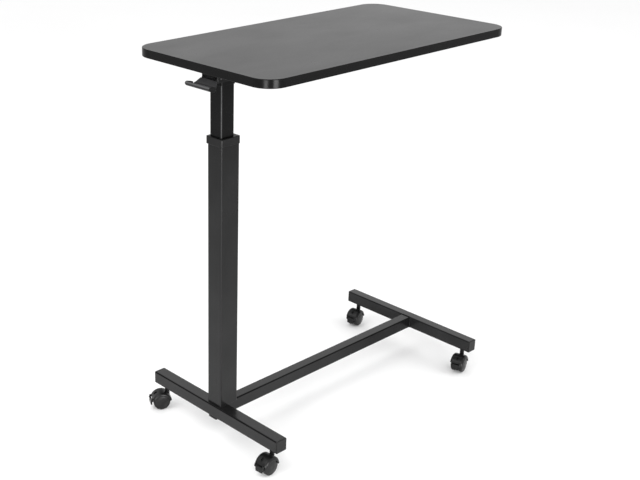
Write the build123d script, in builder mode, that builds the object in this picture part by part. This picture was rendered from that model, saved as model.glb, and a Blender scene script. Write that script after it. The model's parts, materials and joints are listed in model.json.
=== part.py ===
"""Overbed table: a one-sided lift column on an H-shaped base with four twin-wheel casters.

Units are millimetres. +Z is up and the floor is Z = 0. +X runs along the tabletop's long side,
from the column end to the free end, and the origin is on the floor below the tabletop's centre.
"""

from build123d import *
import os
from math import cos, radians, sin, sqrt

os.makedirs("parts", exist_ok=True)

# ---------------------------------------------------------------- driving dimensions
TOP_LENGTH = 752.0
TOP_WIDTH = 400.0
TOP_THICK = 18.0
TOP_HEIGHT = 867.5          # upper face of the tabletop, with the lift part-way up
TOP_RADIUS = 44.0
BAND = 2.0                  # thickness of the edge band
SKIN = 0.8                  # laminate and backer sheets

BAR_HEIGHT = 30.0
BAR_BOTTOM = 57.5
FRONT_WIDTH, REAR_WIDTH = 30.0, 26.0
FRONT_X, REAR_X = -320.5, 353.5
FRONT_HALF, REAR_HALF = 204.5, 200.5
TUBE_WALL = 1.5
TUBE_RADIUS = 3.0
CAP_THICK = 3.0

COLUMN_X = -309.0           # lift axis
INNER_SIZE = 35.0
INNER_RADIUS = 2.5
INNER_BOTTOM = 212.5
OUTER_X, OUTER_Y = 50.0, 43.0
OUTER_SHIFT = 4.5           # the outer tube is set back behind the lift axis
OUTER_TOP = 705.0
COLLAR_TOP = 707.5

WHEEL_RADIUS = 20.0
CASTER_TRAIL = 15.6
STEM_INSET = 28.0           # caster stem from the end of its bar
# key: bar it stands under, side, direction in which it trails, in degrees from +X
CASTERS = {
    "front_left": ("front", 1, 153.0),
    "front_right": ("front", -1, 183.0),
    "rear_left": ("rear", 1, 191.0),
    "rear_right": ("rear", -1, 196.0),
}

FIT = 0.05                  # radial clearance of pins, bolts and shafts
SLIP = 0.3                  # clearance of plastic guides

# ---------------------------------------------------------------- derived places
BAR_TOP = BAR_BOTTOM + BAR_HEIGHT
BAR_MID = BAR_BOTTOM + BAR_HEIGHT / 2
OUTER_CX = COLUMN_X + OUTER_SHIFT
UNDERSIDE = TOP_HEIGHT - TOP_THICK
PAN_THICK = 2.0
PAN_BOTTOM = UNDERSIDE - PAN_THICK
HEAD_BOTTOM = UNDERSIDE - 33
SLOT_BOTTOM = UNDERSIDE - 24        # slot that the lever's arm passes through
PIN_X, PIN_Z = -333.0, UNDERSIDE - 16   # pivot of the release lever
ROD_TOP = UNDERSIDE - 18
RELEASE_TOP = UNDERSIDE - 10


def save(builder, label):
    """Label a finished piece and write it to its own file."""
    builder.part.label = label
    export_step(builder.part, f"parts/{label}.step")


# ---------------------------------------------------------------- base frame
def base_bar(label, x, width, half):
    """Cross bar: a rectangular tube along Y with a bored seat for each caster socket."""
    length = 2 * (half - CAP_THICK)
    with BuildPart() as bar:
        with BuildSketch(Plane(origin=(x, -length / 2, BAR_MID), x_dir=(1, 0, 0), z_dir=(0, 1, 0))):
            RectangleRounded(width, BAR_HEIGHT, TUBE_RADIUS)
            RectangleRounded(
                width - 2 * TUBE_WALL, BAR_HEIGHT - 2 * TUBE_WALL, TUBE_RADIUS - TUBE_WALL,
                mode=Mode.SUBTRACT,
            )
        extrude(amount=length)
        with BuildSketch(Plane.XY.offset(BAR_BOTTOM)):
            with Locations((x, half - STEM_INSET), (x, STEM_INSET - half)):
                Circle(SOCKET_RADIUS + FIT)
        extrude(amount=TUBE_WALL, mode=Mode.SUBTRACT)
        if x == FRONT_X:
            with BuildSketch(Plane.XY.offset(BAR_BOTTOM)):
                with Locations((x, 0)):
                    Circle(BOLT_RADIUS + FIT)
            extrude(amount=BAR_HEIGHT, mode=Mode.SUBTRACT)
    save(bar, label)


SOCKET_RADIUS = 7.0
BOLT_RADIUS = 4.0
BOLT_X = (FRONT_X, -289.0)
base_bar("front_bar", FRONT_X, FRONT_WIDTH, FRONT_HALF)
base_bar("rear_bar", REAR_X, REAR_WIDTH, REAR_HALF)

BEAM_START = FRONT_X + FRONT_WIDTH / 2
BEAM_END = REAR_X - REAR_WIDTH / 2
with BuildPart() as beam:
    with BuildSketch(Plane(origin=(BEAM_START, 0, BAR_MID), x_dir=(0, 1, 0), z_dir=(1, 0, 0))):
        RectangleRounded(REAR_WIDTH, BAR_HEIGHT, TUBE_RADIUS)
        RectangleRounded(
            REAR_WIDTH - 2 * TUBE_WALL, BAR_HEIGHT - 2 * TUBE_WALL, TUBE_RADIUS - TUBE_WALL,
            mode=Mode.SUBTRACT,
        )
    extrude(amount=BEAM_END - BEAM_START)
    with BuildSketch(Plane.XY.offset(BAR_BOTTOM)):
        with Locations((BOLT_X[1], 0)):
            Circle(BOLT_RADIUS + FIT)
    extrude(amount=BAR_HEIGHT, mode=Mode.SUBTRACT)
save(beam, "beam")


def end_cap(label, x, width, half, side):
    """Plastic plug in the end of a bar: a rounded face and a hollow shank that grips the bore."""
    inner_w = width - 2 * TUBE_WALL - 0.2
    inner_h = BAR_HEIGHT - 2 * TUBE_WALL - 0.2
    seat = Plane(origin=(x, side * (half - CAP_THICK), BAR_MID), x_dir=(side, 0, 0), z_dir=(0, side, 0))
    with BuildPart() as cap:
        with BuildSketch(seat):
            RectangleRounded(width, BAR_HEIGHT, TUBE_RADIUS)
        extrude(amount=CAP_THICK)
        outer = cap.faces().sort_by(Axis((0, 0, 0), (0, side, 0)))[-1]
        fillet(outer.edges(), radius=1.8)
        with BuildSketch(seat):
            RectangleRounded(inner_w, inner_h, 1.3)
            RectangleRounded(inner_w - 4, inner_h - 4, 1.0, mode=Mode.SUBTRACT)
        extrude(amount=-12)
    save(cap, label)


for bar_name, bar_x, bar_w, bar_half in (
    ("front", FRONT_X, FRONT_WIDTH, FRONT_HALF),
    ("rear", REAR_X, REAR_WIDTH, REAR_HALF),
):
    end_cap(f"{bar_name}_cap_left", bar_x, bar_w, bar_half, 1)
    end_cap(f"{bar_name}_cap_right", bar_x, bar_w, bar_half, -1)


def stem_place(bar_name, side):
    """Centre of a caster's stem, in plan."""
    if bar_name == "front":
        return FRONT_X, side * (FRONT_HALF - STEM_INSET)
    return REAR_X, side * (REAR_HALF - STEM_INSET)


STEM_RADIUS = 4.0
with BuildPart() as caster_sockets:
    with BuildSketch(Plane.XY.offset(BAR_BOTTOM)):
        with Locations(*[stem_place(bar, side) for bar, side, _ in CASTERS.values()]):
            Circle(SOCKET_RADIUS)
            Circle(STEM_RADIUS + FIT, mode=Mode.SUBTRACT)
    extrude(amount=BAR_HEIGHT - TUBE_WALL)
save(caster_sockets, "caster_sockets")

# ---------------------------------------------------------------- column foot
STRAP_THICK = 3.5
STRAP_START, STRAP_END = -335.0, -272.0
with BuildPart() as base_strap:
    with BuildSketch(Plane.XY.offset(BAR_BOTTOM - STRAP_THICK)):
        with Locations(((STRAP_START + STRAP_END) / 2, 0)):
            RectangleRounded(STRAP_END - STRAP_START, 25, 2)
        with Locations((BOLT_X[0], 0), (BOLT_X[1], 0)):
            Circle(BOLT_RADIUS + FIT, mode=Mode.SUBTRACT)
    extrude(amount=STRAP_THICK)
save(base_strap, "base_strap")

FOOT_THICK = 8.0
FOOT_TOP = BAR_TOP + FOOT_THICK
with BuildPart() as column_foot:
    with BuildSketch(Plane.XY.offset(BAR_TOP)):
        with Locations((OUTER_CX, 0)):
            RectangleRounded(OUTER_X - 2 * TUBE_WALL, OUTER_Y - 2 * TUBE_WALL, TUBE_RADIUS - TUBE_WALL)
        with Locations((BOLT_X[0], 0), (BOLT_X[1], 0), (COLUMN_X + 4, 0)):
            Circle(BOLT_RADIUS + FIT, mode=Mode.SUBTRACT)
    extrude(amount=FOOT_THICK)
save(column_foot, "column_foot")

BOLT_HEAD = 5.0
with BuildPart() as base_bolts:
    head_plane = Plane.XY.offset(BAR_BOTTOM - STRAP_THICK - BOLT_HEAD)
    with BuildSketch(head_plane):
        with Locations((BOLT_X[0], 0), (BOLT_X[1], 0)):
            RegularPolygon(7.2, 6)
    extrude(amount=BOLT_HEAD)
    chamfer(base_bolts.faces().group_by(Axis.Z)[0].edges(), length=0.8)
    with BuildSketch(Plane.XY.offset(BAR_BOTTOM - STRAP_THICK)):
        with Locations((BOLT_X[0], 0), (BOLT_X[1], 0)):
            Circle(BOLT_RADIUS)
    extrude(amount=STRAP_THICK + BAR_HEIGHT + FOOT_THICK - 1)
save(base_bolts, "base_bolts")

# ---------------------------------------------------------------- column
with BuildPart() as outer_column:
    with BuildSketch(Plane.XY.offset(BAR_TOP)):
        with Locations((OUTER_CX, 0)):
            RectangleRounded(OUTER_X, OUTER_Y, TUBE_RADIUS)
            RectangleRounded(
                OUTER_X - 2 * TUBE_WALL, OUTER_Y - 2 * TUBE_WALL, TUBE_RADIUS - TUBE_WALL,
                mode=Mode.SUBTRACT,
            )
    extrude(amount=OUTER_TOP - BAR_TOP)
save(outer_column, "outer_column")

COLLAR_SKIRT = 16.5
COLLAR_X = OUTER_CX - 1.2   # it overhangs more towards the table's edge
COLLAR_SIZE_X, COLLAR_SIZE_Y = OUTER_X + 3.2, OUTER_Y + 5.6
COLLAR_GUIDE = 58.0         # depth of the guide inside the outer tube
with BuildPart() as column_collar:
    with BuildSketch(Plane.XY.offset(COLLAR_TOP)):
        with Locations((COLLAR_X, 0)):
            RectangleRounded(COLLAR_SIZE_X, COLLAR_SIZE_Y, 4.5)
    extrude(amount=-COLLAR_SKIRT)
    fillet(column_collar.faces().sort_by(Axis.Z)[-1].edges(), radius=1.6)
    fillet(column_collar.faces().sort_by(Axis.Z)[0].edges(), radius=0.6)
    with BuildSketch(Plane.XY.offset(OUTER_TOP)):
        with Locations((OUTER_CX, 0)):
            RectangleRounded(OUTER_X + 0.2, OUTER_Y + 0.2, TUBE_RADIUS + 0.1)
    extrude(amount=-COLLAR_SKIRT, mode=Mode.SUBTRACT)
    with BuildSketch(Plane.XY.offset(OUTER_TOP)):
        with Locations((OUTER_CX, 0)):
            RectangleRounded(OUTER_X - 2 * TUBE_WALL - 0.2, OUTER_Y - 2 * TUBE_WALL - 0.2, 1.4)
    extrude(amount=-COLLAR_GUIDE)
    with BuildSketch(Plane.XY.offset(COLLAR_TOP)):
        with Locations((COLUMN_X, 0)):
            RectangleRounded(INNER_SIZE + 2 * SLIP, INNER_SIZE + 2 * SLIP, INNER_RADIUS + SLIP)
    extrude(amount=-COLLAR_GUIDE - 5, mode=Mode.SUBTRACT)
save(column_collar, "column_collar")

ARM_SLOT = 8.0              # half width of the slot that the lever's arm passes through
with BuildPart() as inner_column:
    with BuildSketch(Plane.XY.offset(INNER_BOTTOM)):
        with Locations((COLUMN_X, 0)):
            RectangleRounded(INNER_SIZE, INNER_SIZE, INNER_RADIUS)
            RectangleRounded(
                INNER_SIZE - 2 * TUBE_WALL, INNER_SIZE - 2 * TUBE_WALL, INNER_RADIUS - TUBE_WALL,
                mode=Mode.SUBTRACT,
            )
    extrude(amount=PAN_BOTTOM - INNER_BOTTOM)
    with BuildSketch(Plane.YZ.offset(COLUMN_X - INNER_SIZE / 2 - 1)):
        with Locations((0, (PAN_BOTTOM + SLOT_BOTTOM) / 2)):
            Rectangle(2 * ARM_SLOT, PAN_BOTTOM - SLOT_BOTTOM)
    extrude(amount=5, mode=Mode.SUBTRACT)
save(inner_column, "inner_column")

SHOE_HEIGHT = 30.0
SHOE_FLOOR = 10.0
CYLINDER_RADIUS = 11.0
with BuildPart() as glide_shoe:
    with BuildSketch(Plane.XY.offset(INNER_BOTTOM - SHOE_FLOOR)):
        with Locations((OUTER_CX, 0)):
            RectangleRounded(
                OUTER_X - 2 * TUBE_WALL - 2 * SLIP, OUTER_Y - 2 * TUBE_WALL - 2 * SLIP, 1.4
            )
    extrude(amount=SHOE_HEIGHT)
    chamfer(glide_shoe.faces().sort_by(Axis.Z)[0].edges(), length=1.0)
    with BuildSketch(Plane.XY.offset(INNER_BOTTOM)):
        with Locations((COLUMN_X, 0)):
            RectangleRounded(INNER_SIZE + 0.2, INNER_SIZE + 0.2, INNER_RADIUS + 0.1)
    extrude(amount=SHOE_HEIGHT, mode=Mode.SUBTRACT)
    with BuildSketch(Plane.XY.offset(INNER_BOTTOM - SHOE_FLOOR)):
        with Locations((COLUMN_X, 0)):
            Circle(CYLINDER_RADIUS + 1.5)
    extrude(amount=SHOE_FLOOR, mode=Mode.SUBTRACT)
save(glide_shoe, "glide_shoe")

# ---------------------------------------------------------------- gas spring
CYLINDER_TOP = 702.5
CYLINDER_WALL = 1.5
ROD_RADIUS = 5.0
ROD_BOTTOM = 419.0
RELEASE_RADIUS = 2.5
GUIDE_HEIGHT = 14.0
PISTON_HEIGHT = 18.0
gas_plane = Plane(origin=(COLUMN_X, 0, 0), x_dir=(1, 0, 0), z_dir=(0, -1, 0))
gas_axis = Axis((COLUMN_X, 0, 0), (0, 0, 1))

with BuildPart() as gas_spring_cylinder:
    with BuildSketch(gas_plane):
        with BuildLine():
            Polyline(
                (0, FOOT_TOP), (CYLINDER_RADIUS, FOOT_TOP), (CYLINDER_RADIUS, CYLINDER_TOP),
                (CYLINDER_RADIUS - CYLINDER_WALL, CYLINDER_TOP),
                (CYLINDER_RADIUS - CYLINDER_WALL, FOOT_TOP + 5), (0, FOOT_TOP + 5), close=True,
            )
        make_face()
    revolve(axis=gas_axis)
    fillet(gas_spring_cylinder.edges().filter_by(GeomType.CIRCLE).sort_by(Axis.Z)[0], radius=1.5)
save(gas_spring_cylinder, "gas_spring_cylinder")

with BuildPart() as gas_rod_guide:
    with BuildSketch(Plane.XY.offset(CYLINDER_TOP - GUIDE_HEIGHT)):
        with Locations((COLUMN_X, 0)):
            Circle(CYLINDER_RADIUS - CYLINDER_WALL - 0.02)
            Circle(ROD_RADIUS + FIT, mode=Mode.SUBTRACT)
    extrude(amount=GUIDE_HEIGHT)
save(gas_rod_guide, "gas_rod_guide")

with BuildPart() as gas_spring_rod:
    with BuildSketch(Plane.XY.offset(ROD_BOTTOM)):
        with Locations((COLUMN_X, 0)):
            Circle(ROD_RADIUS)
            Circle(RELEASE_RADIUS + FIT, mode=Mode.SUBTRACT)
    extrude(amount=ROD_TOP - ROD_BOTTOM)
    chamfer(gas_spring_rod.faces().sort_by(Axis.Z)[-1].edges().sort_by(SortBy.RADIUS)[-1], length=0.8)
save(gas_spring_rod, "gas_spring_rod")

with BuildPart() as gas_spring_piston:
    with BuildSketch(Plane.XY.offset(ROD_BOTTOM - 2)):
        with Locations((COLUMN_X, 0)):
            Circle(CYLINDER_RADIUS - CYLINDER_WALL - FIT)
            Circle(ROD_RADIUS + 0.02, mode=Mode.SUBTRACT)
    extrude(amount=PISTON_HEIGHT)
    with BuildSketch(Plane.XY.offset(ROD_BOTTOM + 6)):
        with Locations((COLUMN_X, 0)):
            Circle(CYLINDER_RADIUS)
            Circle(CYLINDER_RADIUS - CYLINDER_WALL - 1.2, mode=Mode.SUBTRACT)
    extrude(amount=2.4, mode=Mode.SUBTRACT)
save(gas_spring_piston, "gas_spring_piston")

with BuildPart() as release_rod:
    with BuildSketch(Plane.XY.offset(ROD_BOTTOM + PISTON_HEIGHT)):
        with Locations((COLUMN_X, 0)):
            Circle(RELEASE_RADIUS)
    extrude(amount=RELEASE_TOP - ROD_BOTTOM - PISTON_HEIGHT)
    fillet(release_rod.faces().sort_by(Axis.Z)[-1].edges(), radius=1.2)
save(release_rod, "release_rod")

YOKE_BOTTOM, YOKE_THICK = UNDERSIDE - 34, 4.0
NUT_HEIGHT = 6.0
with BuildPart() as rod_yoke:
    with BuildSketch(Plane.XY.offset(YOKE_BOTTOM)):
        with Locations((COLUMN_X, 0)):
            RectangleRounded(INNER_SIZE - 2 * TUBE_WALL, INNER_SIZE - 2 * TUBE_WALL, 1.0)
            Circle(ROD_RADIUS + FIT, mode=Mode.SUBTRACT)
    extrude(amount=YOKE_THICK)
save(rod_yoke, "rod_yoke")

with BuildPart() as rod_nuts:
    for nut_bottom in (YOKE_BOTTOM - NUT_HEIGHT, YOKE_BOTTOM + YOKE_THICK):
        with BuildSketch(Plane.XY.offset(nut_bottom)):
            with Locations((COLUMN_X, 0)):
                RegularPolygon(8.6, 6)
                Circle(ROD_RADIUS + FIT, mode=Mode.SUBTRACT)
        extrude(amount=NUT_HEIGHT)
save(rod_nuts, "rod_nuts")

# ---------------------------------------------------------------- column head and support pan
HEAD_WALL = 2.0
HEAD_SIZE = INNER_SIZE + 2 * HEAD_WALL
with BuildPart() as column_head:
    with BuildSketch(Plane.XY.offset(HEAD_BOTTOM)):
        with Locations((COLUMN_X, 0)):
            RectangleRounded(HEAD_SIZE, HEAD_SIZE, INNER_RADIUS + HEAD_WALL)
            RectangleRounded(INNER_SIZE + 0.1, INNER_SIZE + 0.1, INNER_RADIUS + 0.05, mode=Mode.SUBTRACT)
    extrude(amount=PAN_BOTTOM - HEAD_BOTTOM)
    with BuildSketch(Plane.YZ.offset(COLUMN_X - HEAD_SIZE / 2 - 1)):
        with Locations((0, (PAN_BOTTOM + SLOT_BOTTOM) / 2)):
            Rectangle(2 * ARM_SLOT, PAN_BOTTOM - SLOT_BOTTOM)
    extrude(amount=5, mode=Mode.SUBTRACT)
save(column_head, "column_head")

PAN_START, PAN_END = -336.0, 190.0
PAN_HALF = 95.0
PAN_FLANGE = 14.0
PAN_SCREWS = [(x, side * y) for x in (-240.0, -60.0, 120.0) for side in (1, -1) for y in (80.0,)]
PAN_SCREWS += [(-318.0, 60.0), (-318.0, -60.0)]
SCREW_RADIUS = 2.0
pan_mid = (PAN_START + PAN_END) / 2
with BuildPart() as support_pan:
    with BuildSketch(Plane.XY.offset(PAN_BOTTOM)):
        with Locations((pan_mid, 0)):
            Rectangle(PAN_END - PAN_START, 2 * PAN_HALF)
        with Locations(*PAN_SCREWS):
            Circle(SCREW_RADIUS + 0.2, mode=Mode.SUBTRACT)
        with Locations((-150, 0), (0, 0), (110, 0)):
            SlotOverall(90, 50, mode=Mode.SUBTRACT)
    extrude(amount=PAN_THICK)
    with BuildSketch(Plane.XY.offset(UNDERSIDE)):
        with Locations((pan_mid, PAN_HALF - PAN_THICK / 2), (pan_mid, PAN_THICK / 2 - PAN_HALF)):
            Rectangle(PAN_END - PAN_START, PAN_THICK)
    extrude(amount=-PAN_FLANGE)
    outer_bends = support_pan.edges().filter_by(Axis.X).filter_by(
        lambda e: abs(abs(e.center().Y) - PAN_HALF) < 0.01 and abs(e.center().Z - UNDERSIDE) < 0.01
    )
    fillet(outer_bends, radius=1.8)
    flange_corners = support_pan.edges().filter_by(Axis.Y).filter_by(
        lambda e: abs(e.center().Z - UNDERSIDE + PAN_FLANGE) < 0.01
    )
    fillet(flange_corners, radius=8)
save(support_pan, "support_pan")

with BuildPart() as pan_screws:
    with BuildSketch(Plane.XY.offset(PAN_BOTTOM)):
        with Locations(*PAN_SCREWS):
            Circle(4.5)
    extrude(amount=-2.6)
    fillet(pan_screws.faces().group_by(Axis.Z)[0].edges(), radius=1.6)
    with BuildSketch(Plane.XY.offset(PAN_BOTTOM)):
        with Locations(*PAN_SCREWS):
            Circle(SCREW_RADIUS)
    extrude(amount=14)
save(pan_screws, "pan_screws")

# ---------------------------------------------------------------- tabletop
CORE_LENGTH, CORE_WIDTH = TOP_LENGTH - 2 * BAND, TOP_WIDTH - 2 * BAND
CORE_RADIUS = TOP_RADIUS - BAND
SPINE_DEPTH, SPINE_THICK = 8.0, 2.0
SPINE_Z = TOP_HEIGHT - TOP_THICK / 2 - SPINE_THICK / 2

with BuildPart() as tabletop_core:
    with BuildSketch(Plane.XY.offset(UNDERSIDE + SKIN)):
        RectangleRounded(CORE_LENGTH, CORE_WIDTH, CORE_RADIUS)
    extrude(amount=TOP_THICK - 2 * SKIN)
    with BuildSketch(Plane.XY.offset(SPINE_Z - 0.1)):
        RectangleRounded(CORE_LENGTH, CORE_WIDTH, CORE_RADIUS)
        RectangleRounded(
            CORE_LENGTH - 2 * SPINE_DEPTH - 1, CORE_WIDTH - 2 * SPINE_DEPTH - 1,
            CORE_RADIUS - SPINE_DEPTH - 0.5, mode=Mode.SUBTRACT,
        )
    extrude(amount=SPINE_THICK + 0.2, mode=Mode.SUBTRACT)
    with BuildSketch(Plane.XY.offset(UNDERSIDE + SKIN)):
        with Locations(*PAN_SCREWS):
            Circle(SCREW_RADIUS + FIT)
    extrude(amount=12, mode=Mode.SUBTRACT)
save(tabletop_core, "tabletop_core")

with BuildPart() as laminate_top:
    with BuildSketch(Plane.XY.offset(TOP_HEIGHT - SKIN)):
        RectangleRounded(CORE_LENGTH, CORE_WIDTH, CORE_RADIUS)
    extrude(amount=SKIN)
save(laminate_top, "laminate_top")

with BuildPart() as backer_sheet:
    with BuildSketch(Plane.XY.offset(UNDERSIDE)):
        RectangleRounded(CORE_LENGTH, CORE_WIDTH, CORE_RADIUS)
        with Locations(*PAN_SCREWS):
            Circle(SCREW_RADIUS + FIT, mode=Mode.SUBTRACT)
    extrude(amount=SKIN)
save(backer_sheet, "backer_sheet")

with BuildPart() as edge_band:
    with BuildSketch(Plane.XY.offset(UNDERSIDE)):
        RectangleRounded(TOP_LENGTH, TOP_WIDTH, TOP_RADIUS)
    extrude(amount=TOP_THICK)
    fillet(edge_band.faces().sort_by(Axis.Z)[-1].edges(), radius=1.2)
    fillet(edge_band.faces().sort_by(Axis.Z)[0].edges(), radius=1.2)
    with BuildSketch(Plane.XY.offset(UNDERSIDE)):
        RectangleRounded(CORE_LENGTH, CORE_WIDTH, CORE_RADIUS)
    extrude(amount=TOP_THICK, mode=Mode.SUBTRACT)
    with BuildSketch(Plane.XY.offset(SPINE_Z)):
        RectangleRounded(CORE_LENGTH, CORE_WIDTH, CORE_RADIUS)
        RectangleRounded(
            CORE_LENGTH - 2 * SPINE_DEPTH, CORE_WIDTH - 2 * SPINE_DEPTH, CORE_RADIUS - SPINE_DEPTH,
            mode=Mode.SUBTRACT,
        )
    extrude(amount=SPINE_THICK)
save(edge_band, "edge_band")

# ---------------------------------------------------------------- release lever
HOUSING_FRONT, HOUSING_BACK = -343.0, -300.0
HOUSING_HALF = 24.0
HOUSING_WALL = 1.8
HOUSING_BOTTOM = SLOT_BOTTOM
PIN_RADIUS = 2.0
housing_mid = (HOUSING_FRONT + HOUSING_BACK) / 2
with BuildPart() as lever_housing:
    with BuildSketch(Plane.XY.offset(PAN_BOTTOM)):
        with Locations((housing_mid, 0)):
            RectangleRounded(HOUSING_BACK - HOUSING_FRONT, 2 * HOUSING_HALF, 3)
    extrude(amount=HOUSING_BOTTOM - PAN_BOTTOM)
    with BuildSketch(Plane.XY.offset(PAN_BOTTOM - HOUSING_WALL)):
        with Locations((housing_mid, 0)):
            RectangleRounded(
                HOUSING_BACK - HOUSING_FRONT - 2 * HOUSING_WALL, 2 * (HOUSING_HALF - HOUSING_WALL), 1.2
            )
    extrude(amount=HOUSING_BOTTOM - PAN_BOTTOM, mode=Mode.SUBTRACT)
    with BuildSketch(Plane.XY.offset(PAN_BOTTOM)):
        with Locations((COLUMN_X, 0)):
            Rectangle(HEAD_SIZE + 0.4, HEAD_SIZE + 0.4)
    extrude(amount=HOUSING_BOTTOM - PAN_BOTTOM, mode=Mode.SUBTRACT)
    with BuildSketch(Plane.YZ.offset(HOUSING_FRONT - 1)):
        with Locations((0, HOUSING_BOTTOM + 5)):
            Rectangle(2 * (HOUSING_HALF - HOUSING_WALL), 10)
    extrude(amount=4, mode=Mode.SUBTRACT)
    with BuildSketch(Plane.XZ.offset(-HOUSING_HALF - 1)):
        with Locations((PIN_X, PIN_Z)):
            Circle(PIN_RADIUS + 0.02)
    extrude(amount=2 * HOUSING_HALF + 2, mode=Mode.SUBTRACT)
save(lever_housing, "lever_housing")

with BuildPart() as lever_pin:
    with BuildSketch(Plane.XZ.offset(-HOUSING_HALF)):
        with Locations((PIN_X, PIN_Z)):
            Circle(PIN_RADIUS)
    extrude(amount=2 * HOUSING_HALF)
save(lever_pin, "lever_pin")

PADDLE_HALF = 36.0
NECK_HALF = HOUSING_HALF - HOUSING_WALL - 0.4
ARM_HALF = 5.0
ARM_BOTTOM, ARM_TOP = -9.4, -5.0
SPRING_START, SPRING_END = 8.5, 18.5     # span of the return spring along the pin
PIN_DROP = PIN_Z - UNDERSIDE


def lever_plane(half):
    """Vertical plane across the lever; its heights are measured from the tabletop's underside."""
    return Plane(origin=(0, half, UNDERSIDE), x_dir=(1, 0, 0), z_dir=(0, -1, 0))


with BuildPart() as release_lever:
    # scoop that the fingers pull, and the back that rises from it to the housing
    with BuildSketch(lever_plane(PADDLE_HALF)):
        with BuildLine():
            Polyline((-343.4, -24.5), (-353, -33.4), (-361, -36.4))
            Spline((-361, -36.4), (-368, -35.4), (-374.2, -32), (-376.2, -28))
            Spline((-376.2, -28), (-374, -25.2), (-368, -25), (-362, -26.2))
            Polyline((-362, -26.2), (-353, -29.2), (-344.6, -20), (-343.4, -20), (-343.4, -24.5))
        make_face()
    extrude(amount=2 * PADDLE_HALF)
    with BuildSketch(lever_plane(PADDLE_HALF - 2)):
        with BuildLine():
            Polyline((-351.5, -22), (-354.5, -30.6), (-361, -33.8))
            Spline((-361, -33.8), (-366, -33.2), (-370.5, -31), (-372.5, -27.6))
            Polyline((-372.5, -27.6), (-372.5, -22), (-351.5, -22))
        make_face()
    extrude(amount=2 * PADDLE_HALF - 4, mode=Mode.SUBTRACT)
    # the back narrows towards the housing
    for side in (1, -1):
        with BuildSketch(Plane.XY.offset(UNDERSIDE - 45)):
            with BuildLine():
                Polyline(
                    (-358, side * PADDLE_HALF), (-358, side * (PADDLE_HALF + 1)),
                    (-342, side * (PADDLE_HALF + 1)), (-342, side * NECK_HALF),
                    (-343.4, side * (HOUSING_HALF - 0.5)), close=True,
                )
            make_face()
        extrude(amount=40, mode=Mode.SUBTRACT)
    # neck below the housing's front wall, then cheeks on the pin
    with BuildSketch(lever_plane(NECK_HALF)):
        with BuildLine():
            Polyline(
                (-344, -24.6), (-337.6, -22.5), (-337.4, -17.4), (-344, -17.4), (-344, -24.6),
            )
        make_face()
    extrude(amount=2 * NECK_HALF)
    with BuildSketch(lever_plane(NECK_HALF)):
        with Locations((PIN_X, PIN_DROP)):
            Circle(4.2)
        with BuildLine():
            Polyline(
                (-341, -18.5), (-337.6, -22.5), (PIN_X, PIN_DROP - 4.2), (PIN_X, PIN_DROP + 3.5),
                close=True,
            )
        make_face()
    extrude(amount=2 * NECK_HALF)
    for start in (SPRING_END, -SPRING_START):
        with BuildSketch(lever_plane(start)):
            with Locations((PIN_X, PIN_DROP)):
                Circle(5.6)
        extrude(amount=SPRING_END - SPRING_START, mode=Mode.SUBTRACT)
    # arm that reaches through the slot to the release rod
    with BuildSketch(lever_plane(ARM_HALF)):
        with BuildLine():
            Polyline(
                (PIN_X - 3.0, PIN_DROP + 2.8), (PIN_X + 1, ARM_TOP), (COLUMN_X + 5, ARM_TOP),
                (COLUMN_X + 5, ARM_BOTTOM), (PIN_X + 6, ARM_BOTTOM), (PIN_X + 4.0, PIN_DROP), close=True,
            )
        make_face()
    extrude(amount=2 * ARM_HALF)
    with BuildSketch(lever_plane(PADDLE_HALF)):
        with Locations((PIN_X, PIN_DROP)):
            Circle(PIN_RADIUS + FIT)
    extrude(amount=2 * PADDLE_HALF, mode=Mode.SUBTRACT)
save(release_lever, "release_lever")

SPRING_WIRE = 0.6           # wire radius
SPRING_TURNS = 5
SPRING_LENGTH = 7.6
SPRING_RADIUS = PIN_RADIUS + SPRING_WIRE + 0.5
with BuildPart() as lever_springs:
    for start in (SPRING_START + 1.2, -SPRING_END + 1.2):
        with BuildLine() as coil:
            Helix(
                pitch=SPRING_LENGTH / SPRING_TURNS, height=SPRING_LENGTH, radius=SPRING_RADIUS,
                center=(PIN_X, start, PIN_Z), direction=(0, 1, 0),
            )
        with BuildSketch(Plane(origin=coil.line @ 0, z_dir=coil.line % 0)):
            Circle(SPRING_WIRE)
        sweep(path=coil.line, is_frenet=True)
save(lever_springs, "lever_springs")


# ---------------------------------------------------------------- casters
HOOD_RADIUS, HOOD_INNER = 24.2, 21.8
HOOD_HALF, HOOD_HALF_INNER = 17.2, 15.7
HOOD_SKIRT = 17.0                        # how far in the hood's side walls reach
HOOD_START, HOOD_END = 22.0, 172.0       # degrees, from the trailing side up and over
WHEEL_IN, WHEEL_OUT = 4.9, 15.1
DOME = 1.7                               # how far the closed face of the wheel bulges
WEB_HALF = 4.0
AXLE_RADIUS = 3.0
BOSS_RADIUS = 5.4
FLANGE_RADIUS, FLANGE_THICK = 4.8, 3.0
BOSS_TOP = BAR_BOTTOM - FLANGE_THICK - 0.3
BORE_BOTTOM = 38.0
PIVOT_ANGLE, PIVOT_REACH = 11.0, 25.0    # pedal pivot, seen from the axle
PEDAL_HALF = 9.0
PEDAL_IN, PEDAL_OUT = 23.2, 27.0
PEDAL_END = -15.0                        # degrees below the axle's level
LUG_IN, LUG_OUT = 9.4, 12.0
SLOT_ANGLE = 55.0                        # slot in the back of the hood
TRUNNION = 1.2


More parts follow.
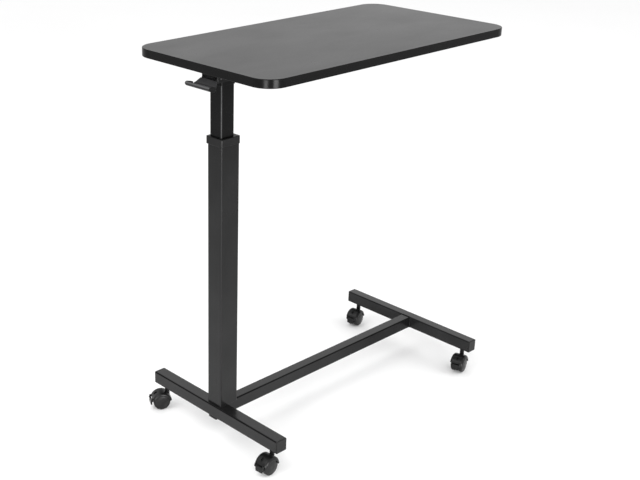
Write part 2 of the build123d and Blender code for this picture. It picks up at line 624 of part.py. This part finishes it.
def make_caster(key, x, y, heading):
    """Hooded twin-wheel caster; heading is the direction in which the wheels trail."""
    trail = Vector(cos(radians(heading)), sin(radians(heading)), 0)
    across = Vector(-trail.Y, trail.X, 0)
    up = Vector(0, 0, 1)
    stem = Vector(x, y, 0)
    centre = stem + trail * CASTER_TRAIL + up * WHEEL_RADIUS
    axle_axis = Axis(centre, across)
    side = Plane(origin=stem, x_dir=trail, z_dir=-across)
    section = Plane(origin=centre, x_dir=across, z_dir=trail)
    axle_x, axle_z = CASTER_TRAIL, WHEEL_RADIUS
    pivot_x = axle_x + PIVOT_REACH * cos(radians(PIVOT_ANGLE))
    pivot_z = axle_z + PIVOT_REACH * sin(radians(PIVOT_ANGLE))

    def level(z):
        return Plane(origin=stem + up * z, x_dir=trail, z_dir=up)

    with BuildPart() as caster_stem:
        for radius, low, high in (
            (3.5, BORE_BOTTOM + 1, BAR_BOTTOM - FLANGE_THICK),
            (FLANGE_RADIUS, BAR_BOTTOM - FLANGE_THICK, BAR_BOTTOM),
            (STEM_RADIUS, BAR_BOTTOM, BAR_TOP - 6),
        ):
            with BuildSketch(level(low)):
                Circle(radius)
            extrude(amount=high - low)
        chamfer(caster_stem.faces().sort_by(Axis.Z)[-1].edges(), length=1)
    save(caster_stem, f"caster_{key}_stem")

    start = radians(HOOD_START)
    radial = trail * cos(start) + up * sin(start)
    rim_plane = Plane(origin=centre, x_dir=across, z_dir=across.cross(radial))
    with BuildPart() as caster_housing:
        with BuildSketch(rim_plane) as rim:
            with Locations((0, (HOOD_SKIRT + HOOD_RADIUS) / 2)):
                Rectangle(2 * HOOD_HALF, HOOD_RADIUS - HOOD_SKIRT)
            fillet(rim.vertices().group_by(Axis.Y)[-1], radius=6.4)
        revolve(axis=Axis(centre, -across), revolution_arc=HOOD_END - HOOD_START)
        with BuildSketch(level(30)):
            Circle(BOSS_RADIUS)
        extrude(amount=BOSS_TOP - 30)
        # room for the wheels, then the web between them
        with BuildSketch(section) as room:
            with Locations((0, HOOD_INNER / 2)):
                Rectangle(2 * HOOD_HALF_INNER, HOOD_INNER)
            fillet(room.vertices().group_by(Axis.Y)[-1], radius=4.9)
        revolve(axis=axle_axis, mode=Mode.SUBTRACT)
        with BuildSketch(side.offset(-WEB_HALF)):
            with Locations((axle_x, axle_z)):
                Circle(HOOD_INNER + 0.6)
            with Locations((axle_x, axle_z + 20)):
                Rectangle(38, 52, mode=Mode.INTERSECT)
        extrude(amount=2 * WEB_HALF)
        # lugs that hold the pedal's trunnions
        for low in (LUG_IN, -LUG_OUT):
            with BuildSketch(side.offset(low)):
                with Locations((pivot_x, pivot_z)):
                    Circle(2.6)
                with BuildLine():
                    Polyline(
                        (pivot_x - 2.5, pivot_z - 0.8), (pivot_x + 2.5, pivot_z + 0.8),
                        (pivot_x + 0.6, pivot_z + 7), (pivot_x - 2.6, pivot_z + 6.4), close=True,
                    )
                make_face()
            extrude(amount=LUG_OUT - LUG_IN)
        with BuildSketch(side.offset(-LUG_OUT - 1)):
            with Locations((pivot_x, pivot_z)):
                Circle(TRUNNION + FIT)
        extrude(amount=2 * LUG_OUT + 2, mode=Mode.SUBTRACT)
        outward = trail * cos(radians(SLOT_ANGLE)) + up * sin(radians(SLOT_ANGLE))
        with BuildSketch(Plane(origin=centre + outward * HOOD_RADIUS, x_dir=across, z_dir=outward)):
            SlotOverall(9.5, 6.5, rotation=90)
        extrude(amount=3.5, both=True, mode=Mode.SUBTRACT)
        with BuildSketch(side.offset(-HOOD_HALF - 1)):
            with Locations((axle_x, axle_z)):
                Circle(AXLE_RADIUS + 0.02)
        extrude(amount=2 * HOOD_HALF + 2, mode=Mode.SUBTRACT)
        with BuildSketch(level(BORE_BOTTOM)):
            Circle(3.5 + FIT)
        extrude(amount=BOSS_TOP - BORE_BOTTOM, mode=Mode.SUBTRACT)
    save(caster_housing, f"caster_{key}_housing")

    with BuildPart() as caster_axle:
        with BuildSketch(side.offset(-WHEEL_OUT)):
            with Locations((axle_x, axle_z)):
                Circle(AXLE_RADIUS)
        extrude(amount=2 * WHEEL_OUT)
        chamfer(caster_axle.edges().filter_by(GeomType.CIRCLE), length=0.5)
    save(caster_axle, f"caster_{key}_axle")

    for hand, sign in (("left", 1), ("right", -1)):
        with BuildPart() as caster_wheel:
            with BuildSketch(section) as half:
                with BuildLine():
                    Polyline(
                        (sign * WHEEL_IN, AXLE_RADIUS + FIT), (sign * WHEEL_IN, 7),
                        (sign * (WHEEL_IN + 1), 8), (sign * (WHEEL_IN + 1), WHEEL_RADIUS),
                        (sign * WHEEL_OUT, WHEEL_RADIUS), (sign * WHEEL_OUT, 15.5),
                    )
                    ThreePointArc(
                        (sign * WHEEL_OUT, 15.5), (sign * (WHEEL_OUT + DOME * 0.7), 10), (sign * (WHEEL_OUT + DOME), 4),
                    )
                    Polyline(
                        (sign * (WHEEL_OUT + DOME), 4), (sign * (WHEEL_OUT + DOME), 0), (sign * (WHEEL_OUT + 0.3), 0),
                        (sign * (WHEEL_OUT + 0.3), AXLE_RADIUS + FIT), (sign * WHEEL_IN, AXLE_RADIUS + FIT),
                    )
                make_face()
                tread = half.vertices().group_by(Axis.Y)[-1].sort_by(Axis.X)
                shoulder, inner = (tread[-1], tread[0]) if sign > 0 else (tread[0], tread[-1])
                fillet(shoulder, radius=4.0)
                fillet(inner, radius=1.5)
            revolve(axis=axle_axis)
        save(caster_wheel, f"caster_{key}_wheel_{hand}")

    with BuildPart() as brake_pedal:
        with BuildSketch(side.offset(-PEDAL_HALF)):
            with Locations((axle_x, axle_z)):
                Circle(PEDAL_OUT)
                Circle(PEDAL_IN, mode=Mode.SUBTRACT)
            with BuildLine():
                Polyline(
                    (axle_x, axle_z),
                    (axle_x + 40, axle_z + 40 * sin(radians(PIVOT_ANGLE - 2))),
                    (axle_x + 40, axle_z + 40 * sin(radians(PEDAL_END))), close=True,
                )
            make_face(mode=Mode.INTERSECT)
            with Locations((pivot_x, pivot_z)):
                Circle(2.4)
        extrude(amount=2 * PEDAL_HALF)
        low_edges = brake_pedal.edges().filter_by(lambda e: e.center().Z < axle_z - 6)
        fillet(low_edges.filter_by(lambda e: abs(e.length - (PEDAL_OUT - PEDAL_IN)) < 0.4), radius=1.0)
        with BuildSketch(side.offset(-LUG_OUT + 0.2)):
            with Locations((pivot_x, pivot_z)):
                Circle(TRUNNION)
        extrude(amount=2 * LUG_OUT - 0.4)
    save(brake_pedal, f"caster_{key}_brake_pedal")


for key, (bar_name, hand, heading) in CASTERS.items():
    stem_x, stem_y = stem_place(bar_name, hand)
    make_caster(key, stem_x, stem_y, heading)
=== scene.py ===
import json
import math
import random

import bpy
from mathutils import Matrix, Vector


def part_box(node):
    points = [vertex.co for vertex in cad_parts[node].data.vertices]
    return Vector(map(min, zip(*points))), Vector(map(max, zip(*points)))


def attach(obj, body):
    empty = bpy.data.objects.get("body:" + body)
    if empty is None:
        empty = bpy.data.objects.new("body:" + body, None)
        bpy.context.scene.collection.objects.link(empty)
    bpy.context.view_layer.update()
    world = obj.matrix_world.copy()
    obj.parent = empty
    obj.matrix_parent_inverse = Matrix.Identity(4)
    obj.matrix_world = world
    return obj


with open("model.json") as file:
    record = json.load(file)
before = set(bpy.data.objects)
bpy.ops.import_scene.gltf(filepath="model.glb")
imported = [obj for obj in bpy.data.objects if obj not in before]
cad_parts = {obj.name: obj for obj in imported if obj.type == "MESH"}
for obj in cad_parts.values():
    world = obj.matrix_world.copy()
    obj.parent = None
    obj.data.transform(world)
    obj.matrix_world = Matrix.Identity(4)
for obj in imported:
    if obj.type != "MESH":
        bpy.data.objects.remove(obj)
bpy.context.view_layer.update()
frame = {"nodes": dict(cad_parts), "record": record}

# tints of the greys: paint and plastic are faintly cool, bare steel a little more, dust is warm
COOL = (1.0, 1.0, 1.02)
STEEL = (1.0, 1.0, 1.03)
WARM = (1.05, 1.0, 0.94)
NEUTRAL = (1.0, 1.0, 1.0)
# finish of the powder coat on most of the tubes
COAT_ROUGHNESS = 0.22
COAT_GRAIN = 420
# sockets of the colour mix node
MIX_FIRST, MIX_SECOND, MIX_RESULT = 6, 7, 2


# ------------------------------------------------------------------ node helpers
class Shader:
    """A small builder for a procedural material."""

    def __init__(self, name):
        self.material = bpy.data.materials.new(name)
        self.material.use_nodes = True
        self.tree = self.material.node_tree
        self.bsdf = self.tree.nodes["Principled BSDF"]
        self.coords = self.add("ShaderNodeTexCoord").outputs["Object"]
        self.shaped_normal = None

    def add(self, kind, **settings):
        node = self.tree.nodes.new(kind)
        for key, value in settings.items():
            setattr(node, key, value)
        return node

    def link(self, source, target):
        self.tree.links.new(source, target)

    def fill(self, socket, value):
        """Sets a socket to a number or a colour, or links it to another node's output."""
        if isinstance(value, (tuple, list)):
            socket.default_value = (*value, 1)
        elif isinstance(value, (int, float)):
            socket.default_value = value
        else:
            self.link(value, socket)

    def noise(self, scale, detail, stretch=(1, 1, 1), rough=0.5):
        mapping = self.add("ShaderNodeMapping")
        mapping.inputs["Scale"].default_value = stretch
        self.link(self.coords, mapping.inputs["Vector"])
        node = self.add("ShaderNodeTexNoise")
        node.inputs["Scale"].default_value = scale
        node.inputs["Detail"].default_value = detail
        node.inputs["Roughness"].default_value = rough
        self.link(mapping.outputs["Vector"], node.inputs["Vector"])
        return node.outputs["Fac"]

    def spread(self, value, low, high, to_low=0.0, to_high=1.0):
        node = self.add("ShaderNodeMapRange")
        node.inputs["From Min"].default_value = low
        node.inputs["From Max"].default_value = high
        node.inputs["To Min"].default_value = to_low
        node.inputs["To Max"].default_value = to_high
        self.link(value, node.inputs["Value"])
        return node.outputs["Result"]

    def math(self, operation, a, b=0.0):
        node = self.add("ShaderNodeMath", operation=operation)
        self.fill(node.inputs[0], a)
        self.fill(node.inputs[1], b)
        return node.outputs["Value"]

    def mix(self, factor, first, second):
        node = self.add("ShaderNodeMix", data_type="RGBA")
        self.link(factor, node.inputs["Factor"])
        self.fill(node.inputs[MIX_FIRST], first)
        self.fill(node.inputs[MIX_SECOND], second)
        return node.outputs[MIX_RESULT]

    def normal(self, axis):
        """One component of the surface normal."""
        split = self.add("ShaderNodeSeparateXYZ")
        self.link(self.add("ShaderNodeNewGeometry").outputs["Normal"], split.inputs["Vector"])
        return split.outputs[axis]

    def edges(self, radius=0.0012, low=0.02, high=0.35):
        """How sharply the surface turns here: 0 on flats, 1 on edges."""
        bevel = self.add("ShaderNodeBevel", samples=4)
        bevel.inputs["Radius"].default_value = radius
        geometry = self.add("ShaderNodeNewGeometry")
        dot = self.add("ShaderNodeVectorMath", operation="DOT_PRODUCT")
        self.link(bevel.outputs["Normal"], dot.inputs[0])
        self.link(geometry.outputs["Normal"], dot.inputs[1])
        turned = self.math("SUBTRACT", 1.0, dot.outputs["Value"])
        return self.spread(turned, low, high)

    def soften(self, radius):
        """Rounds the shading of hard edges."""
        bevel = self.add("ShaderNodeBevel", samples=6)
        bevel.inputs["Radius"].default_value = radius
        self.shaped_normal = bevel.outputs["Normal"]
        self.link(self.shaped_normal, self.bsdf.inputs["Normal"])

    def bump(self, height, strength, distance):
        """Adds a bump on top of the rounding and of any earlier bump."""
        node = self.add("ShaderNodeBump")
        node.inputs["Strength"].default_value = strength
        node.inputs["Distance"].default_value = distance
        self.link(height, node.inputs["Height"])
        if self.shaped_normal:
            self.link(self.shaped_normal, node.inputs["Normal"])
        self.shaped_normal = node.outputs["Normal"]
        self.link(self.shaped_normal, self.bsdf.inputs["Normal"])

    def set(self, **values):
        for key, value in values.items():
            self.fill(self.bsdf.inputs[key.replace("_", " ")], value)


def grey(level, tint=COOL):
    return tuple(level * t for t in tint)


# ------------------------------------------------------------------ materials
def coat(name, level, specular, rough=COAT_ROUGHNESS, grain=COAT_GRAIN, wear=0.35, fade=None, top=None,
         corner=None):
    """Black powder coat: soft colour drift, orange-peel bump, worn edges.

    fade = (axis, start, end, specular at the end) lets the gloss change along the piece, top is the gloss
    of the faces that look up, and corner is the brightness of a painted highlight on the upright corners.
    """
    s = Shader(name)
    if fade:
        axis, start, end, specular_at_end = fade
        place = s.add("ShaderNodeSeparateXYZ")
        s.link(s.coords, place.inputs["Vector"])
        specular = s.spread(place.outputs[axis], start, end, specular, specular_at_end)
    # the roundings between the upright faces and the faces that look up get no gloss: a painted dark line
    # along those edges
    if top:
        up = s.spread(s.normal("Z"), 0.85, 0.97)
        side = s.math("MULTIPLY", specular, s.spread(s.normal("Z"), 0.04, 0.3, 1.0, 0.0))
        specular = s.math("ADD", side, s.math("MULTIPLY", top, up))
    drift = s.spread(s.noise(14, 4), 0.3, 0.7)
    base = s.mix(drift, grey(level * 0.75), grey(level * 1.3))
    speck = s.spread(s.noise(900, 2), 0.62, 0.75)
    base = s.mix(s.math("MULTIPLY", speck, 0.4), base, grey(level * 3))
    # patches for the edge wear, which also vary the strength of the painted corner highlight
    rub_and_highlight_noise = s.spread(s.noise(60, 5), 0.45, 0.7)
    worn = s.math("MULTIPLY", s.math("MULTIPLY", s.edges(), rub_and_highlight_noise), wear)
    base = s.mix(worn, base, grey(0.09))
    if corner:
        # X times Y of the normal is largest on the rounding between two upright faces, where the base is
        # lightened into a painted highlight
        turn = s.math("ABSOLUTE", s.math("MULTIPLY", s.normal("X"), s.normal("Y")))
        painted_corner_highlight = s.math("MULTIPLY", s.spread(turn, 0.12, 0.4), s.spread(rub_and_highlight_noise, 0, 1, 0.75, 1))
        base = s.mix(painted_corner_highlight, base, grey(corner))
    patchy = s.spread(s.noise(35, 4), 0.3, 0.7, rough - 0.04, rough + 0.05)
    s.set(Base_Color=base, Specular_IOR_Level=specular, Roughness=s.math("ADD", patchy, worn))
    s.soften(0.0008)
    s.bump(s.noise(grain, 2), 0.12, 0.0002)
    return s.material


def plastic(name, level, rough, specular=0.4, grain=1400, wear=0.25, dust=None):
    """Moulded plastic: fine spark-eroded grain, faint flow marks, scuffed edges, dust and a painted sheen
    on what looks up.
    """
    s = Shader(name)
    flow = s.spread(s.noise(9, 5, (1, 1, 3)), 0.3, 0.7)
    base = s.mix(flow, grey(level * 0.8), grey(level * 1.25))
    # faces that look up are lightened: partly dust, partly a painted sheen of the bright surroundings
    # above
    if dust:
        base = s.mix(s.spread(s.normal("Z"), 0.0, 0.6), base, grey(dust))
    scuff = s.spread(s.noise(90, 6), 0.5, 0.72)
    worn = s.math("MULTIPLY", s.math("MULTIPLY", s.edges(), scuff), wear)
    base = s.mix(worn, base, grey(level * 4 + 0.03))
    s.set(Base_Color=base, Specular_IOR_Level=specular)
    s.set(Roughness=s.spread(s.noise(40, 5), 0.3, 0.7, rough - 0.05, rough + 0.07))
    s.soften(0.0006)
    s.bump(s.noise(grain, 2), 0.2, 0.0001)
    return s.material


def metal(name, level, rough, stretch=(1, 1, 1)):
    """Bare or plated steel: drawn scratches, dull patches, brighter edges."""
    s = Shader(name)
    patch = s.spread(s.noise(50, 5), 0.35, 0.7)
    base = s.mix(patch, grey(level, STEEL), grey(level * 0.72, STEEL))
    base = s.mix(s.math("MULTIPLY", s.edges(0.0006), 0.5), base, grey(level * 1.2, STEEL))
    scratches = s.noise(600, 3, stretch)
    s.set(Base_Color=base, Metallic=1.0)
    s.set(Roughness=s.spread(scratches, 0.3, 0.7, rough - 0.05, rough + 0.1))
    s.soften(0.0003)
    s.bump(scratches, 0.1, 0.00005)
    return s.material


def laminate(name):
    """Dark melamine laminate: fine mottling, faint pearl texture, a painted highlight along the edges."""
    s = Shader(name)
    cloud = s.spread(s.noise(7, 6, (1, 1.6, 1), 0.6), 0.3, 0.7)
    base = s.mix(cloud, grey(0.009), grey(0.014))
    fleck = s.spread(s.noise(260, 3, (1, 2, 1)), 0.35, 0.7)
    base = s.mix(s.math("MULTIPLY", fleck, 0.4), base, grey(0.022))
    # a thin painted highlight along the edges
    base = s.mix(s.math("MULTIPLY", s.edges(0.002, 0.01, 0.2), 0.5), base, grey(0.06))
    s.set(Base_Color=base, Specular_IOR_Level=0.16)
    smear = s.spread(s.noise(5, 5, (1, 2, 1), 0.55), 0.3, 0.72, 0.27, 0.32)
    s.set(Roughness=s.math("ADD", smear, s.math("MULTIPLY", fleck, 0.03)))
    s.bump(s.noise(700, 3), 0.12, 0.0001)
    s.bump(s.noise(2.2, 2), 0.04, 0.002)
    return s.material


def board(name):
    """Particle board: pale and darker chips."""
    s = Shader(name)
    chips = s.add("ShaderNodeTexVoronoi")
    chips.inputs["Scale"].default_value = 420
    s.link(s.coords, chips.inputs["Vector"])
    tone = s.spread(chips.outputs["Distance"], 0.0, 0.9)
    s.set(Base_Color=s.mix(tone, (0.36, 0.26, 0.16), (0.55, 0.43, 0.29)), Roughness=0.85)
    s.bump(tone, 0.3, 0.0004)
    return s.material


def hard_wheel(name):
    """Hard black wheel, one moulding with its hub: colour drift and dust in patches."""
    s = Shader(name)
    drift = s.spread(s.noise(60, 4), 0.3, 0.7)
    base = s.mix(drift, grey(0.004), grey(0.008))
    dust = s.math("MULTIPLY", s.spread(s.noise(160, 6), 0.5, 0.75), 0.3)
    base = s.mix(dust, base, grey(0.03, WARM))
    s.set(Base_Color=base, Specular_IOR_Level=0.26)
    s.set(Roughness=s.spread(s.noise(80, 4), 0.3, 0.7, 0.25, 0.4))
    s.soften(0.0006)
    s.bump(s.noise(900, 3), 0.15, 0.0001)
    return s.material


# one material for each of the record's slots
MATERIALS = {
    "laminate": laminate("laminate"),
    "backer": plastic("backer", 0.02, 0.5, grain=500),
    "edge_band": plastic("edge_band", 0.0025, 0.24, specular=0.075, grain=900, wear=0.2),
    "board": board("board"),
    "black_coat": coat("black_coat", 0.006, 0.27, top=0.36),
    "black_plastic": plastic("black_plastic", 0.005, 0.3, specular=0.22),
    "grey_plastic": plastic("grey_plastic", 0.12, 0.45, grain=700),
    "wheel": hard_wheel("wheel"),
    "zinc": metal("zinc", 0.55, 0.3),
    "dark_steel": coat("dark_steel", 0.02, 0.5, rough=0.3, grain=600),
    "chrome_rod": metal("chrome_rod", 0.62, 0.12, (1, 1, 12)),
}
# pieces whose gloss, shade or wear differs from the rest of their slot
OWN_MATERIALS = {
    # corner= paints a highlight on the upright corners of both column tubes
    "inner_column": coat("inner_coat", 0.003, 0.06, rough=0.24, corner=0.05),
    # on the outer column the gloss fades towards the top as painted shade under the tabletop
    "outer_column": coat("outer_coat", 0.006, 0.24, fade=("Z", 0.15, 0.68, 0.115), corner=0.012),
    "beam": coat("beam_coat", 0.006, 0.27, fade=("X", -0.22, 0.25, 0.1), top=0.35),
    "rear_bar": coat("rear_coat", 0.011, 0.17, top=0.38),
    # the column head is made darker and duller as painted shade: it sits deep in shade under the tabletop
    "column_head": coat("head_coat", 0.003, 0.05, rough=0.35),
    # the collar's stronger edge wear is partly wear, partly a painted highlight along its upper rim
    "column_collar": coat("collar_coat", 0.006, 0.13, rough=0.3, grain=600, wear=0.6),
    "lever_housing": coat("housing_coat", 0.004, 0.1, rough=0.35, grain=600),
    # dust= lightens the lever's upward faces: partly dust, partly a painted sheen
    "release_lever": plastic("lever_plastic", 0.004, 0.35, specular=0.1, dust=0.075),
}

slots = {entry["node"]: entry["material_slot"] for entry in frame["record"]["subparts"]}
for name, piece in frame["nodes"].items():
    piece.data.materials.clear()
    piece.data.materials.append(OWN_MATERIALS.get(name) or MATERIALS[slots[name]])


# ------------------------------------------------------------------ welds
WELD_RADIUS = 0.0017
RIPPLE_PITCH = 0.0028
RIPPLE_DEPTH = 0.16
UNEVENNESS = 0.04
RING_STEP = 0.0007
RING_SIDES = 10
END_TAPER = 0.6


def weld_path(corners):
    """Points about a ring's step apart along straight runs between corners."""
    path = []
    for start, end in zip(corners, corners[1:]):
        steps = max(2, round((end - start).length / RING_STEP))
        path += [start.lerp(end, k / steps) for k in range(steps)]
    return path + [corners[-1]]


def weld(name, corners):
    """A rippled bead of weld along a path of corners, closed at both ends."""
    random.seed(name)
    path = weld_path([Vector(corner) for corner in corners])
    last = len(path) - 1
    vertices = []
    for k, point in enumerate(path):
        along = (path[min(k + 1, last)] - path[max(k - 1, 0)]).normalized()
        across = along.cross(Vector((1, 0, 0))).normalized()
        third = along.cross(across)
        ripple = RIPPLE_DEPTH * math.sin(2 * math.pi * k * RING_STEP / RIPPLE_PITCH)
        swell = 1 + ripple + random.uniform(-UNEVENNESS, UNEVENNESS)
        reach = WELD_RADIUS * swell * (END_TAPER if k in (0, last) else 1)
        for side in range(RING_SIDES):
            angle = 2 * math.pi * side / RING_SIDES
            vertices.append(point + reach * (math.cos(angle) * across + math.sin(angle) * third))
    faces = []
    for k in range(last):
        ring = k * RING_SIDES
        next_ring = ring + RING_SIDES
        for side in range(RING_SIDES):
            beside = (side + 1) % RING_SIDES
            faces.append((ring + side, ring + beside, next_ring + beside, next_ring + side))
    faces.append(tuple(reversed(range(RING_SIDES))))
    faces.append(tuple(range(last * RING_SIDES, len(vertices))))
    mesh = bpy.data.meshes.new(name)
    mesh.from_pydata(vertices, [], faces)
    mesh.polygons.foreach_set("use_smooth", [True] * len(faces))
    mesh.materials.append(MATERIALS["black_coat"])
    piece = bpy.data.objects.new(name, mesh)
    bpy.context.scene.collection.objects.link(piece)
    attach(piece, "base")


# the beads join the beam's ends to the bars, up one side, over the top and down the other side
BEAD_OFFSET = 0.0004
CORNER_CUT = 0.0022
FOOT_GAP = 0.001
beam_low, beam_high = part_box("beam")
side_y = beam_high.y + BEAD_OFFSET
top_z = beam_high.z + BEAD_OFFSET
foot_z = beam_low.z + FOOT_GAP
for name, x in (("weld_rear", beam_high.x - BEAD_OFFSET), ("weld_front", beam_low.x + BEAD_OFFSET)):
    weld(name, [(x, -side_y, foot_z), (x, -side_y, top_z - CORNER_CUT),
                (x, -side_y + CORNER_CUT, top_z), (x, side_y - CORNER_CUT, top_z),
                (x, side_y, top_z - CORNER_CUT), (x, side_y, foot_z)])

# ------------------------------------------------------------------ floor and light
bpy.ops.mesh.primitive_plane_add(size=40, location=(6, 6, 0))
floor = bpy.context.object
floor.name = "floor"
floor_look = Shader("floor_look")
floor_look.set(Roughness=0.9, Specular_IOR_Level=0.1)
floor_tone = floor_look.spread(floor_look.noise(0.6, 3), 0.3, 0.7)
floor_look.set(Base_Color=floor_look.mix(floor_tone, grey(0.88, NEUTRAL), grey(0.9, NEUTRAL)))
floor.data.materials.append(floor_look.material)

world = bpy.data.worlds.new("studio")
bpy.context.scene.world = world
world.use_nodes = True
background = world.node_tree.nodes["Background"]
background.inputs["Color"].default_value = (1, 1, 1, 1)
background.inputs["Strength"].default_value = 1.05


def softbox(name, place, target, size, power):
    light = bpy.data.lights.new(name, "AREA")
    light.shape = "RECTANGLE"
    light.size, light.size_y = size
    light.energy = power
    holder = bpy.data.objects.new(name, light)
    bpy.context.scene.collection.objects.link(holder)
    holder.location = place
    holder.rotation_euler = (Vector(target) - Vector(place)).to_track_quat("-Z", "Y").to_euler()
    holder.visible_camera = False


MIDDLE = (0, 0, 0.4)
NEAR_CORNER = (-0.36, -0.19, 0.7)
softbox("key", (-2.6, 0.6, 3.6), MIDDLE, (2.4, 2.4), 60)
softbox("fill", (2.4, -2.6, 3.0), MIDDLE, (2.4, 2.4), 30)
# low strips that draw the highlights on rounded corners
softbox("strip_left", (-2.09, -1.2, 0.38), NEAR_CORNER, (0.6, 0.6), 28)
softbox("strip_right", (-0.68, -2.16, 0.38), NEAR_CORNER, (0.8, 0.6), 38)

# ------------------------------------------------------------------ camera
AZIMUTH = math.radians(41.592)
ELEVATION = math.radians(22.398)

camera_data = bpy.data.cameras.new("camera")
camera_data.sensor_width = 36
camera_data.lens = 61.85
camera_data.shift_x = 0.1688
camera_data.clip_start = 0.05
camera_data.clip_end = 60
camera_data.dof.use_dof = False
camera = bpy.data.objects.new("camera", camera_data)
look = Vector((math.sin(AZIMUTH) * math.cos(ELEVATION), math.cos(AZIMUTH) * math.cos(ELEVATION),
               -math.sin(ELEVATION)))
camera.location = (-1.7479, -1.5906, 1.3620)
camera.rotation_euler = look.to_track_quat("-Z", "Y").to_euler()

scene = bpy.context.scene
scene.collection.objects.link(camera)
scene.camera = camera
scene.view_settings.view_transform = "Standard"
scene.view_settings.look = "None"
scene.view_settings.exposure = 0.0
